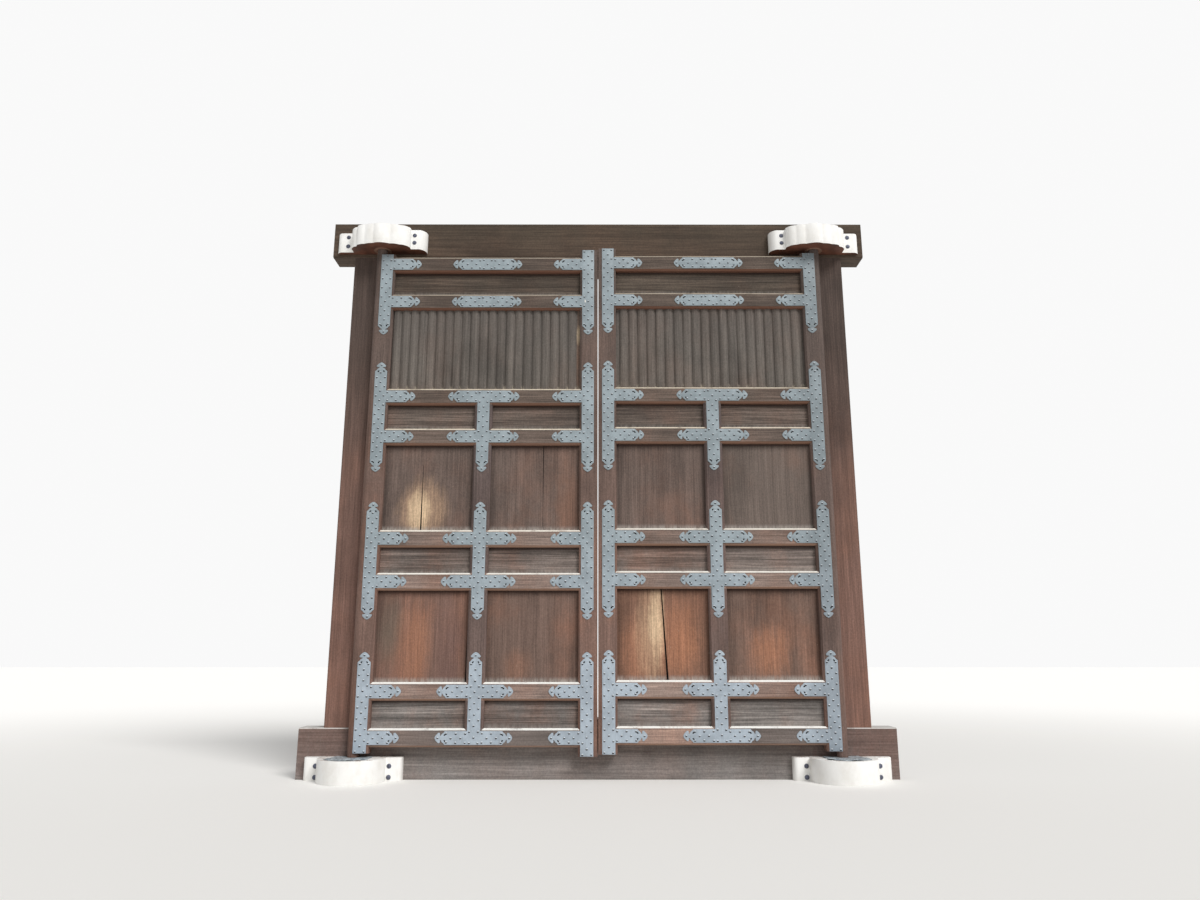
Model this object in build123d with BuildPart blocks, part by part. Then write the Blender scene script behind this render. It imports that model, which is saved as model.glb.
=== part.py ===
from build123d import *
import os

# A pair of framed and panelled temple door leaves. Each turns on the round
# wooden pivots of its hinge stile, in carved sockets nailed to a head rail and
# a sill rail. +Z is up, +X is to the right and the front faces -Y. The origin
# is at the middle of the sill rail's underside. Sizes are in millimetres.

os.makedirs("parts", exist_ok=True)

# Frame round the leaves
rail_depth = 120.0
sill_height = 230.0
head_rail_height = 191.0
rail_edge_bevel = 5.0
rail_overrun = 115.0
jamb_width = 205.0
jamb_outer_reach = 157.0
jamb_setback = 4.0
jamb_edge_bevel = 4.0
lintel_height = 70.0
threshold_height = 40.0
frame_tenon_length = 35.0
frame_tenon_thickness = 30.0
frame_tenon_margin = 15.0

# Leaf lattice
leaf_gap = 4.0
leaf_back_gap = 14.0
leaf_thickness = 54.0
left_leaf_drop = 9.0
meeting_stile_width = 89.5
hinge_stile_width = 75.5
field_width = 961.0
muntin_width = 88.0
rail_width = 82.9
narrow_height = 123.6
tall_height = 424.1
opening_bevel = 8.0
hinge_horn_top = 14.0
hinge_horn_bottom = 27.0
meeting_horn_top = 39.0
meeting_horn_bottom = 41.0

# Joints between the members
tenon_thickness = 18.0
tenon_height = 50.0
tenon_length = 60.0
muntin_tenon_length = 25.0
joint_clearance = 0.2
groove_depth = 10.0
groove_clearance = 0.15
panel_play = 0.3

# Panels
panel_thickness = 14.0
panel_recess = 28.0
rib_height = 10.0
rib_root = 1.0
flat_margin = 17.5
whole_board_ribs = 20
outer_board_ribs = 9
outer_board_width = 397.5
inner_board_ribs = 12
board_joint_gap = 0.3

# Cracks in the panels
crack_depth = 10.0
crack_tip_width = 0.6
hinge_side_crack_inset = 188.5
hinge_side_crack_height = 302.0
hinge_side_crack_width = 5.0
long_crack_inset_top = 211.5
long_crack_inset_bottom = 237.5
long_crack_width_top = 5.0
long_crack_width_bottom = 9.0
edge_gap_height = 392.0
edge_gap_width = 9.0
hairline_inset = 178.5
hairline_length = 260.0
hairline_width = 1.6

# Pivots and the gaps round them
pivot_shoulder = 1.0
pivot_clearance = 0.4
pivot_end_gap = 5.0
pivot_seat_gap = 0.3
upper_pivot_reach = 70.0
lower_pivot_reach = 50.0
upper_horn_gap = 22.1
lower_horn_gap = 28.0

# Sockets
upper_socket_height = 110.0
upper_socket_rise = 16.0
inner_ear_thickness = 64.0
outer_ear_thickness = 26.0
lower_socket_height = 103.0
lower_socket_projection = 210.0
lower_half_length = 226.0
lower_ear_thickness = 45.0
lower_ear_corner = 20.0
lower_bulge_half_width = 154.0
sheet_thickness = 1.5
sheet_hole_clearance = 3.0
sheet_hole_sides = 12

# Socket nails, forged heads on square shanks, by reach from the pivot and level
nail_head_radius = 11.5
nail_head_height = 6.0
nail_head_sides = 7
nail_head_taper = 37.0
nail_shank_width = 7.0
nail_bite = 25.0
nail_hole_clearance = 0.15
upper_inner_nail_reach = 168.0
upper_inner_nail_levels = (37.0, 78.0)
upper_outer_nail_reach = 188.0
upper_outer_nail_levels = (35.0, 86.0)
lower_nail_reach = 169.0
lower_nail_levels = (16.0, 65.0)

# Strap plates
strap_width = 60.6
strap_thickness = 3.0
strap_edge_margin = 10.5
strap_end_margin = 1.0
arm_reach = 148.5
finial_length = 47.0
finial_neck = (15.0, 11.0)
finial_barb = (22.0, 21.5)
finial_brow = (34.0, 18.0)

# Depths that follow: the front of each layer has the lowest Y
rail_face = -rail_depth / 2
rail_back = rail_depth / 2
jamb_face = rail_face + jamb_setback
leaf_back = rail_face - leaf_back_gap
leaf_front = leaf_back - leaf_thickness
leaf_middle = (leaf_front + leaf_back) / 2
panel_front = leaf_front + panel_recess
panel_back = panel_front + panel_thickness

# Distances from the middle of the doorway that follow
stile_edge = leaf_gap / 2
field_start = stile_edge + meeting_stile_width
field_end = field_start + field_width
pivot_x = field_end + hinge_stile_width
pivot_radius = leaf_thickness / 2 - pivot_shoulder
muntin_start = (field_start + field_end - muntin_width) / 2
muntin_end = muntin_start + muntin_width
jamb_outer_x = pivot_x + jamb_outer_reach
jamb_inner_x = jamb_outer_x - jamb_width
rail_half_length = jamb_outer_x + rail_overrun

# Rails and rows of openings of a leaf, listed upwards
rail_names = ["bottom_rail", "rail_7", "rail_6", "rail_5", "rail_4", "rail_3", "rail_2", "top_rail"]
row_heights = [
    narrow_height,
    tall_height,
    narrow_height,
    tall_height,
    narrow_height,
    tall_height,
    narrow_height,
]
divided_rows = [0, 1, 2, 3, 4]
rail_levels = [0.0]
for row_height in row_heights:
    rail_levels.append(rail_levels[-1] + rail_width + row_height)
leaf_height = rail_levels[-1] + rail_width

# Levels that follow
leaf_bottom = lower_socket_height + lower_horn_gap + hinge_horn_bottom
upper_socket_bottom = leaf_bottom + leaf_height + hinge_horn_top + upper_horn_gap
head_rail_bottom = upper_socket_bottom - upper_socket_rise
upper_pivot_length = upper_horn_gap + upper_pivot_reach
lower_pivot_length = lower_horn_gap + lower_pivot_reach

# Plan of an upper socket from the inner end to the outer end, as reach from
# the pivot (outwards is positive), distance from the rail's face and the rise
# of the arc that leads there. The lobes meet in small notches.
upper_socket_plan = [
    (-195.0, inner_ear_thickness, 13.0),
    (-150.0, inner_ear_thickness, 0.0),
    (-150.0, 69.0, 0.0),
    (-118.0, 107.0, 5.5),
    (-70.0, 135.0, 5.5),
    (0.0, 151.0, 3.5),
    (76.0, 132.0, 3.5),
    (122.0, 118.0, 4.5),
    (158.0, 84.0, 6.5),
    (158.0, outer_ear_thickness, 0.0),
    (214.0, outer_ear_thickness, 0.0),
    (245.0, 0.0, 9.0),
]
upper_inner_end = -226.0

# Worn metal sheet round a lower pivot, in the same measures
sheet_plan = [
    (-86.0, 8.0),
    (-96.0, 62.0),
    (-89.0, 104.0),
    (-97.0, 148.0),
    (-62.0, 172.0),
    (-24.0, 194.0),
    (14.0, 199.0),
    (46.0, 188.0),
    (84.0, 168.0),
    (108.0, 146.0),
    (97.0, 108.0),
    (92.0, 66.0),
    (84.0, 8.0),
]

# Half of a strap finial's outline, from the strap's edge to the tip
finial_half = [(0.0, strap_width / 2), finial_neck, finial_barb, finial_brow, (finial_length, 0.0)]


def middle(span):
    """The point halfway between the two limits of a span."""
    return (span[0] + span[1]) / 2


def widened(span, extra):
    """A span with the same middle, longer by extra at both ends."""
    return (span[0] - extra, span[1] + extra)


def block(x_span, y_span, z_span, mode=Mode.ADD):
    """Adds or cuts a block given by its limits along each axis."""
    with Locations((middle(x_span), middle(y_span), middle(z_span))):
        Box(
            abs(x_span[1] - x_span[0]),
            abs(y_span[1] - y_span[0]),
            abs(z_span[1] - z_span[0]),
            mode=mode,
        )


def on_side(side, across):
    """A span across the right-hand leaf, moved to the leaf of the given side."""
    return (side * across[0], side * across[1])


def rail_span(index, bottom):
    """The lowest and highest level of one rail of a leaf."""
    return (bottom + rail_levels[index], bottom + rail_levels[index] + rail_width)


def row_span(row, bottom):
    """The lowest and highest level of one row of openings."""
    return (rail_span(row, bottom)[1], rail_span(row + 1, bottom)[0])


def cut_bevels(side, bottom):
    """Cuts the mitred bevel round each opening and along the leaf's two ends."""
    mouths = []
    for row in range(len(row_heights)):
        levels = row_span(row, bottom)
        if row in divided_rows:
            mouths.append(((field_start, muntin_start), levels))
            mouths.append(((muntin_end, field_end), levels))
        else:
            mouths.append(((field_start, field_end), levels))
    mouths.append(((field_start, field_end), (bottom - 2 * meeting_horn_bottom, bottom)))
    leaf_top = bottom + leaf_height
    mouths.append(((field_start, field_end), (leaf_top, leaf_top + 2 * meeting_horn_top)))
    with BuildSketch(Plane.XZ.offset(-leaf_front)) as outlines:
        for across, levels in mouths:
            with Locations((side * middle(across), middle(levels))):
                Rectangle(
                    across[1] - across[0] + 2 * opening_bevel,
                    levels[1] - levels[0] + 2 * opening_bevel,
                )
    extrude(outlines.sketch, amount=-opening_bevel, taper=45, mode=Mode.SUBTRACT)


def groove_depths():
    """The front and back of a panel groove."""
    return widened((panel_front, panel_back), groove_clearance)


def tenon_depths(clearance=0.0):
    """The front and back of a tenon, or of its mortise with a clearance."""
    return widened((leaf_middle, leaf_middle), tenon_thickness / 2 + clearance)


def tenon_levels(span, clearance=0.0):
    """The levels of a tenon or mortise in the middle of a rail."""
    return widened((middle(span), middle(span)), tenon_height / 2 + clearance)


def cut_stile_joints(side, bottom, edge, direction):
    """Cuts a stile's panel groove and its eight mortises, from its inner edge."""
    ends = (middle(rail_span(0, bottom)), middle(rail_span(len(rail_names) - 1, bottom)))
    groove = (edge, edge + direction * groove_depth)
    block(on_side(side, groove), groove_depths(), ends, mode=Mode.SUBTRACT)
    mortise = (edge, edge + direction * (tenon_length + joint_clearance))
    for index in range(len(rail_names)):
        levels = tenon_levels(rail_span(index, bottom), joint_clearance)
        block(on_side(side, mortise), tenon_depths(joint_clearance), levels, mode=Mode.SUBTRACT)


def cut_crack(side, top, bottom, widths):
    """Cuts an open crack in a panel's front; its ends are given as reach and level."""
    with BuildSketch(Plane.XZ.offset(-panel_front)) as outline:
        with BuildLine():
            Polyline(
                (side * top[0] - widths[0] / 2, top[1]),
                (side * top[0] + widths[0] / 2, top[1]),
                (side * bottom[0] + widths[1] / 2, bottom[1]),
                (side * bottom[0] - widths[1] / 2, bottom[1]),
                close=True,
            )
        make_face()
    extrude(outline.sketch, amount=-crack_depth, mode=Mode.SUBTRACT)


def nail_places(socket):
    """Reach from the pivot, ear thickness and level of the nails of one kind of socket."""
    places = []
    if socket == "upper":
        for level in upper_inner_nail_levels:
            places.append((-upper_inner_nail_reach, inner_ear_thickness, upper_socket_bottom + level))
        for level in upper_outer_nail_levels:
            places.append((upper_outer_nail_reach, outer_ear_thickness, upper_socket_bottom + level))
    else:
        for level in lower_nail_levels:
            places.append((-lower_nail_reach, lower_ear_thickness, level))
            places.append((lower_nail_reach, lower_ear_thickness, level))
    return places


def cut_nail_holes(side, socket):
    """Cuts the square nail holes through a socket's ears and into the rail behind."""
    half = nail_shank_width / 2 + nail_hole_clearance
    for reach, ear, level in nail_places(socket):
        x = side * (pivot_x + reach)
        depths = (rail_face - ear, rail_face + nail_bite + nail_hole_clearance)
        block(widened((x, x), half), depths, widened((level, level), half), mode=Mode.SUBTRACT)


def cut_bore(side, low, high):
    """Cuts the round hole that a pivot turns in."""
    with BuildSketch(Plane.XY.offset(low)) as circle:
        with Locations((side * pivot_x, leaf_middle)):
            Circle(pivot_radius + pivot_clearance)
    extrude(circle.sketch, amount=high - low, mode=Mode.SUBTRACT)


def jamb_tenon(side, clearance=0.0):
    """The limits across and in depth of a jamb's tenon, or of its mortise."""
    across = widened((jamb_inner_x, jamb_outer_x), clearance - frame_tenon_margin)
    centre = middle((jamb_face, rail_back))
    return on_side(side, across), widened((centre, centre), frame_tenon_thickness / 2 + clearance)


def cross_tenon(levels, clearance=0.0):
    """The limits in depth and height of the tenon of the lintel or the threshold."""
    centre = middle((jamb_face, rail_back))
    depths = widened((centre, centre), frame_tenon_thickness / 2 + clearance)
    return depths, widened((middle(levels), middle(levels)), (levels[1] - levels[0]) / 4 + clearance)


def save(piece, name):
    """Labels a finished piece and writes its file."""
    piece.label = name
    export_step(piece, f"parts/{name}.step")


sides = {"left": -1, "right": 1}
lintel_levels = (head_rail_bottom - lintel_height, head_rail_bottom)
threshold_levels = (sill_height, sill_height + threshold_height)

# Head rail and sill rail
with BuildPart() as head_rail:
    with BuildSketch(Plane.YZ.offset(-rail_half_length)):
        with BuildLine():
            Polyline(
                (rail_face, head_rail_bottom + rail_edge_bevel),
                (rail_face + rail_edge_bevel, head_rail_bottom),
                (rail_back, head_rail_bottom),
                (rail_back, head_rail_bottom + head_rail_height),
                (rail_face, head_rail_bottom + head_rail_height),
                close=True,
            )
        make_face()
    extrude(amount=2 * rail_half_length)
    for side in sides.values():
        cut_nail_holes(side, "upper")
        across, depths = jamb_tenon(side, joint_clearance)
        mortise = (head_rail_bottom, head_rail_bottom + frame_tenon_length + joint_clearance)
        block(across, depths, mortise, mode=Mode.SUBTRACT)
save(head_rail.part, "head_rail")

with BuildPart() as sill_rail:
    with BuildSketch(Plane.YZ.offset(-rail_half_length)):
        with BuildLine():
            Polyline(
                (rail_face, 0),
                (rail_back, 0),
                (rail_back, sill_height),
                (rail_face + rail_edge_bevel, sill_height),
                (rail_face, sill_height - rail_edge_bevel),
                close=True,
            )
        make_face()
    extrude(amount=2 * rail_half_length)
    for side in sides.values():
        cut_nail_holes(side, "lower")
        across, depths = jamb_tenon(side, joint_clearance)
        mortise = (sill_height - frame_tenon_length - joint_clearance, sill_height)
        block(across, depths, mortise, mode=Mode.SUBTRACT)
save(sill_rail.part, "sill_rail")

# Jambs, tenoned into both rails
for side_name, side in sides.items():
    with BuildPart() as jamb:
        with BuildSketch(Plane.XY.offset(sill_height)):
            with BuildLine():
                Polyline(
                    (side * jamb_inner_x, jamb_face),
                    (side * (jamb_outer_x - jamb_edge_bevel), jamb_face),
                    (side * jamb_outer_x, jamb_face + jamb_edge_bevel),
                    (side * jamb_outer_x, rail_back),
                    (side * jamb_inner_x, rail_back),
                    close=True,
                )
            make_face()
        extrude(amount=head_rail_bottom - sill_height)
        across, depths = jamb_tenon(side)
        block(across, depths, widened((sill_height, head_rail_bottom), frame_tenon_length))
        mortise = (jamb_inner_x, jamb_inner_x + frame_tenon_length + joint_clearance)
        for span in (lintel_levels, threshold_levels):
            depths, levels = cross_tenon(span, joint_clearance)
            block(on_side(side, mortise), depths, levels, mode=Mode.SUBTRACT)
    save(jamb.part, f"{side_name}_jamb")

# Lintel and threshold, tenoned into the jambs
for name, span in (("inner_lintel", lintel_levels), ("threshold", threshold_levels)):
    with BuildPart() as cross_piece:
        block((-jamb_inner_x, jamb_inner_x), (jamb_face, rail_back), span)
        depths, levels = cross_tenon(span)
        block(widened((-jamb_inner_x, jamb_inner_x), frame_tenon_length), depths, levels)
    save(cross_piece.part, name)

# Upper sockets, lobed like a cloud in front and open to the pivot below
for side_name, side in sides.items():
    with BuildPart() as upper_socket:
        with BuildSketch(Plane.XY.offset(upper_socket_bottom)):
            with BuildLine():
                start = (side * (pivot_x + upper_inner_end), rail_face)
                for reach, out, rise in upper_socket_plan:
                    end = (side * (pivot_x + reach), rail_face - out)
                    if rise:
                        SagittaArc(start, end, -side * rise)
                    else:
                        Line(start, end)
                    start = end
                Line(start, (side * (pivot_x + upper_inner_end), rail_face))
            make_face()
        extrude(amount=upper_socket_height)
        cut_bore(side, upper_socket_bottom, upper_socket_bottom + upper_pivot_reach + pivot_end_gap)
        cut_nail_holes(side, "upper")
    save(upper_socket.part, f"{side_name}_upper_socket")

# Lower sockets, a round bulge between two ears, and the sheet on top
for side_name, side in sides.items():
    drop = left_leaf_drop if side_name == "left" else 0.0
    with BuildPart() as lower_socket:
        with BuildSketch(Plane.XY):
            with Locations((side * pivot_x, rail_face)):
                RectangleRounded(2 * lower_half_length, 2 * lower_ear_thickness, lower_ear_corner)
            with BuildLine():
                ear_face = rail_face - lower_ear_thickness
                ThreePointArc(
                    (side * pivot_x - lower_bulge_half_width, ear_face),
                    (side * pivot_x, rail_face - lower_socket_projection),
                    (side * pivot_x + lower_bulge_half_width, ear_face),
                )
                Polyline(
                    (side * pivot_x + lower_bulge_half_width, ear_face),
                    (side * pivot_x + lower_bulge_half_width, rail_face),
                    (side * pivot_x - lower_bulge_half_width, rail_face),
                    (side * pivot_x - lower_bulge_half_width, ear_face),
                )
            make_face()
            with Locations((side * pivot_x, rail_face + lower_ear_thickness / 2)):
                Rectangle(2 * lower_half_length, lower_ear_thickness, mode=Mode.SUBTRACT)
        extrude(amount=lower_socket_height)
        bore_bottom = lower_socket_height - lower_pivot_reach - drop - pivot_seat_gap
        cut_bore(side, bore_bottom, lower_socket_height)
        cut_nail_holes(side, "lower")
    save(lower_socket.part, f"{side_name}_lower_socket")

    with BuildPart() as socket_plate:
        with BuildSketch(Plane.XY.offset(lower_socket_height)):
            with BuildLine():
                Polyline(
                    [(side * (pivot_x + reach), rail_face - out) for reach, out in sheet_plan],
                    close=True,
                )
            make_face()
            with Locations((side * pivot_x, leaf_middle)):
                RegularPolygon(
                    pivot_radius + sheet_hole_clearance, sheet_hole_sides, mode=Mode.SUBTRACT
                )
        extrude(amount=sheet_thickness)
    save(socket_plate.part, f"{side_name}_socket_plate")

# Nails of the four sockets: a forged head, modelled once, on a square shank
with BuildPart() as nail_head:
    with BuildSketch(Plane.XZ):
        RegularPolygon(nail_head_radius, nail_head_sides)
    extrude(amount=nail_head_height, taper=nail_head_taper)

with BuildPart() as socket_nails:
    for side in sides.values():
        for socket in ("upper", "lower"):
            for reach, ear, level in nail_places(socket):
                x = side * (pivot_x + reach)
                with Locations((x, rail_face - ear, level)):
                    add(nail_head.part)
                half = nail_shank_width / 2
                shank = (rail_face - ear - nail_head_height / 2, rail_face + nail_bite)
                block(widened((x, x), half), shank, widened((level, level), half))
save(socket_nails.part, "socket_nails")

# Finial that ends each strap, pointing along +X from the strap's square end
with BuildSketch() as finial:
    with BuildLine():
        Polyline(finial_half + [(x, -y) for x, y in reversed(finial_half[:-1])], close=True)
    make_face()


def strap_bar(side, x, level, turn, length):
    """A bar of strap that runs from a point in one direction and ends in a finial."""
    plain = length - finial_length
    direction = turn if side > 0 else 180 - turn
    with Locations(Location((side * x, level), direction)):
        with Locations((plain / 2, 0)):
            Rectangle(plain, strap_width)
        with Locations((plain, 0)):
            add(finial.sketch)


def stile_straps(side, bottom, x, arm_turn, horn_top, horn_bottom):
    """The four plates of a stile: an upright with arms on two neighbouring rails each."""
    long_arm = strap_width / 2 + arm_reach
    ends = (bottom - horn_bottom + strap_end_margin, bottom + leaf_height + horn_top - strap_end_margin)
    for low in (0, 2, 4, 6):
        levels = [middle(rail_span(low, bottom)), middle(rail_span(low + 1, bottom))]
        with BuildSketch(Plane.XZ.offset(-leaf_front)) as plate:
            upright = (levels[0] if low > 0 else ends[0], levels[1] if low < 6 else ends[1])
            with Locations((side * x, middle(upright))):
                Rectangle(strap_width, upright[1] - upright[0])
            for level in levels:
                strap_bar(side, x, level, arm_turn, long_arm)
            if low > 0:
                strap_bar(side, x, levels[0], -90, long_arm)
            if low < 6:
                strap_bar(side, x, levels[1], 90, long_arm)
        extrude(plate.sketch, amount=strap_thickness)


def centre_straps_of(side, bottom):
    """The five plates along the middle of a leaf."""
    x = middle((muntin_start, muntin_end))
    long_arm = strap_width / 2 + arm_reach
    groups = [[0, 1], [2, 3], [4, 5], [6], [7]]
    for rails in groups:
        levels = [middle(rail_span(rail, bottom)) for rail in rails]
        with BuildSketch(Plane.XZ.offset(-leaf_front)) as plate:
            with Locations((side * x, middle((levels[0], levels[-1])))):
                Rectangle(strap_width, levels[-1] - levels[0] + strap_width)
            for level in levels:
                strap_bar(side, x, level, 0, long_arm)
                strap_bar(side, x, level, 180, long_arm)
            if rails in ([2, 3], [4, 5]):
                strap_bar(side, x, levels[0], -90, long_arm)
            if rails in ([0, 1], [2, 3]):
                strap_bar(side, x, levels[-1], 90, long_arm)
        extrude(plate.sketch, amount=strap_thickness)


def flat_panel(side, across, levels):
    """A flat panel whose edges reach into the grooves all round."""
    tongue = groove_depth - panel_play
    block(on_side(side, widened(across, tongue)), (panel_front, panel_back), widened(levels, tongue))


def ribbed_board(side, across, ribbed, count, levels):
    """A board of the ribbed panel, with round upright ribs on its front."""
    tongue = groove_depth - panel_play
    block(on_side(side, across), (panel_front, panel_back), widened(levels, tongue))
    pitch = (ribbed[1] - ribbed[0]) / count
    valley = panel_front - rib_root
    with BuildSketch(Plane.XY.offset(levels[0] + panel_play)) as ribs:
        with BuildLine():
            for index in range(count):
                start = ribbed[0] + index * pitch
                ThreePointArc(
                    (side * start, valley),
                    (side * (start + pitch / 2), valley - rib_height),
                    (side * (start + pitch), valley),
                )
            Polyline(
                (side * ribbed[1], valley),
                (side * ribbed[1], panel_front + rib_root),
                (side * ribbed[0], panel_front + rib_root),
                (side * ribbed[0], valley),
            )
        make_face()
    extrude(ribs.sketch, amount=levels[1] - levels[0] - 2 * panel_play)


# The two leaves
for side_name, side in sides.items():
    bottom = leaf_bottom - left_leaf_drop if side_name == "left" else leaf_bottom
    pivot_foot = bottom - hinge_horn_bottom - lower_pivot_length
    pivot_head = bottom + leaf_height + hinge_horn_top + upper_pivot_length

    with BuildPart() as hinge_stile:
        with BuildSketch(Plane.XY.offset(bottom - hinge_horn_bottom)):
            with Locations((side * middle((field_end, pivot_x)), leaf_middle)):
                Rectangle(hinge_stile_width, leaf_thickness)
            with Locations((side * pivot_x, leaf_middle)):
                Circle(leaf_thickness / 2)
        extrude(amount=hinge_horn_bottom + leaf_height + hinge_horn_top)
        with BuildSketch(Plane.XY.offset(pivot_foot)):
            with Locations((side * pivot_x, leaf_middle)):
                Circle(pivot_radius)
        extrude(amount=pivot_head - pivot_foot)
        cut_stile_joints(side, bottom, field_end, 1)
        cut_bevels(side, bottom)
    save(hinge_stile.part, f"{side_name}_hinge_stile")

    with BuildPart() as meeting_stile:
        levels = (bottom - meeting_horn_bottom, bottom + leaf_height + meeting_horn_top)
        block(on_side(side, (stile_edge, field_start)), (leaf_front, leaf_back), levels)
        cut_stile_joints(side, bottom, field_start, -1)
        cut_bevels(side, bottom)
    save(meeting_stile.part, f"{side_name}_meeting_stile")

    # The muntin is halved over four rails and stubbed into the two outer ones
    top_of_muntin = len(divided_rows)
    with BuildPart() as muntin:
        levels = (rail_span(0, bottom)[1], rail_span(top_of_muntin, bottom)[0])
        across = on_side(side, (muntin_start, muntin_end))
        block(across, (leaf_front, leaf_back), levels)
        stub = widened((middle(across), middle(across)), tenon_height / 2)
        block(stub, tenon_depths(), widened(levels, muntin_tenon_length))
        for index in range(1, top_of_muntin):
            block(across, (leaf_front, leaf_middle), rail_span(index, bottom), mode=Mode.SUBTRACT)
        for edge, direction in ((muntin_start, 1), (muntin_end, -1)):
            groove = (edge, edge + direction * groove_depth)
            block(on_side(side, groove), groove_depths(), levels, mode=Mode.SUBTRACT)
        cut_bevels(side, bottom)
    save(muntin.part, f"{side_name}_muntin")

    for index, rail_name in enumerate(rail_names):
        with BuildPart() as rail:
            span = rail_span(index, bottom)
            across = (field_start, field_end)
            block(on_side(side, across), (leaf_front, leaf_back), span)
            block(on_side(side, widened(across, tenon_length)), tenon_depths(), tenon_levels(span))
            if index > 0:
                groove = (span[0], span[0] + groove_depth)
                block(on_side(side, across), groove_depths(), groove, mode=Mode.SUBTRACT)
            if index < len(rail_names) - 1:
                groove = (span[1] - groove_depth, span[1])
                block(on_side(side, across), groove_depths(), groove, mode=Mode.SUBTRACT)
            crossing = on_side(side, (muntin_start, muntin_end))
            if 0 < index < top_of_muntin:
                block(crossing, (leaf_middle, leaf_back), span, mode=Mode.SUBTRACT)
            deep = muntin_tenon_length + joint_clearance
            stub = widened((middle(crossing), middle(crossing)), tenon_height / 2 + joint_clearance)
            if index == 0:
                levels = (span[1] - deep, span[1])
                block(stub, tenon_depths(joint_clearance), levels, mode=Mode.SUBTRACT)
            if index == top_of_muntin:
                levels = (span[0], span[0] + deep)
                block(stub, tenon_depths(joint_clearance), levels, mode=Mode.SUBTRACT)
            cut_bevels(side, bottom)
        save(rail.part, f"{side_name}_{rail_name}")

    # Panels
    inner_openings = (field_start, muntin_start)
    outer_openings = (muntin_end, field_end)
    with BuildPart() as top_panel:
        flat_panel(side, (field_start, field_end), row_span(6, bottom))
    save(top_panel.part, f"{side_name}_top_panel")

    with BuildPart() as ribbed_panel:
        tongue = groove_depth - panel_play
        board = widened((field_start, field_end), tongue)
        ribbed_row = row_span(5, bottom)
        if side_name == "left":
            joint = field_end - outer_board_width
            inner_board = (board[0], joint - board_joint_gap / 2)
            outer_board = (joint + board_joint_gap / 2, board[1])
            inner_ribs = (field_start + flat_margin, inner_board[1])
            outer_ribs = (outer_board[0], field_end - panel_play)
            ribbed_board(side, inner_board, inner_ribs, inner_board_ribs, ribbed_row)
            ribbed_board(side, outer_board, outer_ribs, outer_board_ribs, ribbed_row)
        else:
            ribs = widened((field_start, field_end), -flat_margin)
            ribbed_board(side, board, ribs, whole_board_ribs, ribbed_row)
    save(ribbed_panel.part, f"{side_name}_ribbed_panel")

    upper_levels = row_span(3, bottom)
    lower_levels = row_span(1, bottom)
    with BuildPart() as upper_outer_panel:
        flat_panel(side, outer_openings, upper_levels)
        if side_name == "left":
            x = field_end - hinge_side_crack_inset
            foot = (x, upper_levels[0] - groove_depth)
            tip = (x, upper_levels[0] + hinge_side_crack_height)
            cut_crack(side, tip, foot, (crack_tip_width, hinge_side_crack_width))
    save(upper_outer_panel.part, f"{side_name}_upper_outer_panel")

    with BuildPart() as upper_inner_panel:
        flat_panel(side, inner_openings, upper_levels)
        if side_name == "left":
            x = field_start + hairline_inset
            head = (x, upper_levels[1] + groove_depth)
            tip = (x, upper_levels[1] - hairline_length)
            cut_crack(side, head, tip, (hairline_width, crack_tip_width))
    save(upper_inner_panel.part, f"{side_name}_upper_inner_panel")

    with BuildPart() as lower_outer_panel:
        flat_panel(side, outer_openings, lower_levels)
        if side_name == "left":
            foot = (muntin_end + edge_gap_width / 2, lower_levels[0] - groove_depth)
            tip = (muntin_end + crack_tip_width / 2, lower_levels[0] + edge_gap_height)
            cut_crack(side, tip, foot, (crack_tip_width, edge_gap_width))
    save(lower_outer_panel.part, f"{side_name}_lower_outer_panel")

    with BuildPart() as lower_inner_panel:
        flat_panel(side, inner_openings, lower_levels)
        if side_name == "right":
            head = (field_start + long_crack_inset_top, lower_levels[1] + groove_depth)
            foot = (field_start + long_crack_inset_bottom, lower_levels[0] - groove_depth)
            cut_crack(side, head, foot, (long_crack_width_top, long_crack_width_bottom))
    save(lower_inner_panel.part, f"{side_name}_lower_inner_panel")

    for number, row in ((1, 4), (2, 2), (3, 0)):
        with BuildPart() as narrow_panels:
            flat_panel(side, inner_openings, row_span(row, bottom))
            flat_panel(side, outer_openings, row_span(row, bottom))
        save(narrow_panels.part, f"{side_name}_narrow_panels_{number}")

    # Strap plates on the front of the leaf
    strap_centre = strap_edge_margin + strap_width / 2
    with BuildPart() as hinge_straps:
        stile_straps(side, bottom, field_end + strap_centre, 180, hinge_horn_top, hinge_horn_bottom)
    save(hinge_straps.part, f"{side_name}_hinge_straps")

    with BuildPart() as meeting_straps:
        stile_straps(side, bottom, field_start - strap_centre, 0, meeting_horn_top, meeting_horn_bottom)
    save(meeting_straps.part, f"{side_name}_meeting_straps")

    with BuildPart() as centre_straps:
        centre_straps_of(side, bottom)
    save(centre_straps.part, f"{side_name}_centre_straps")
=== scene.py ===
import math
import random

import bmesh
import bpy
from mathutils import Matrix, Vector, noise


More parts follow.
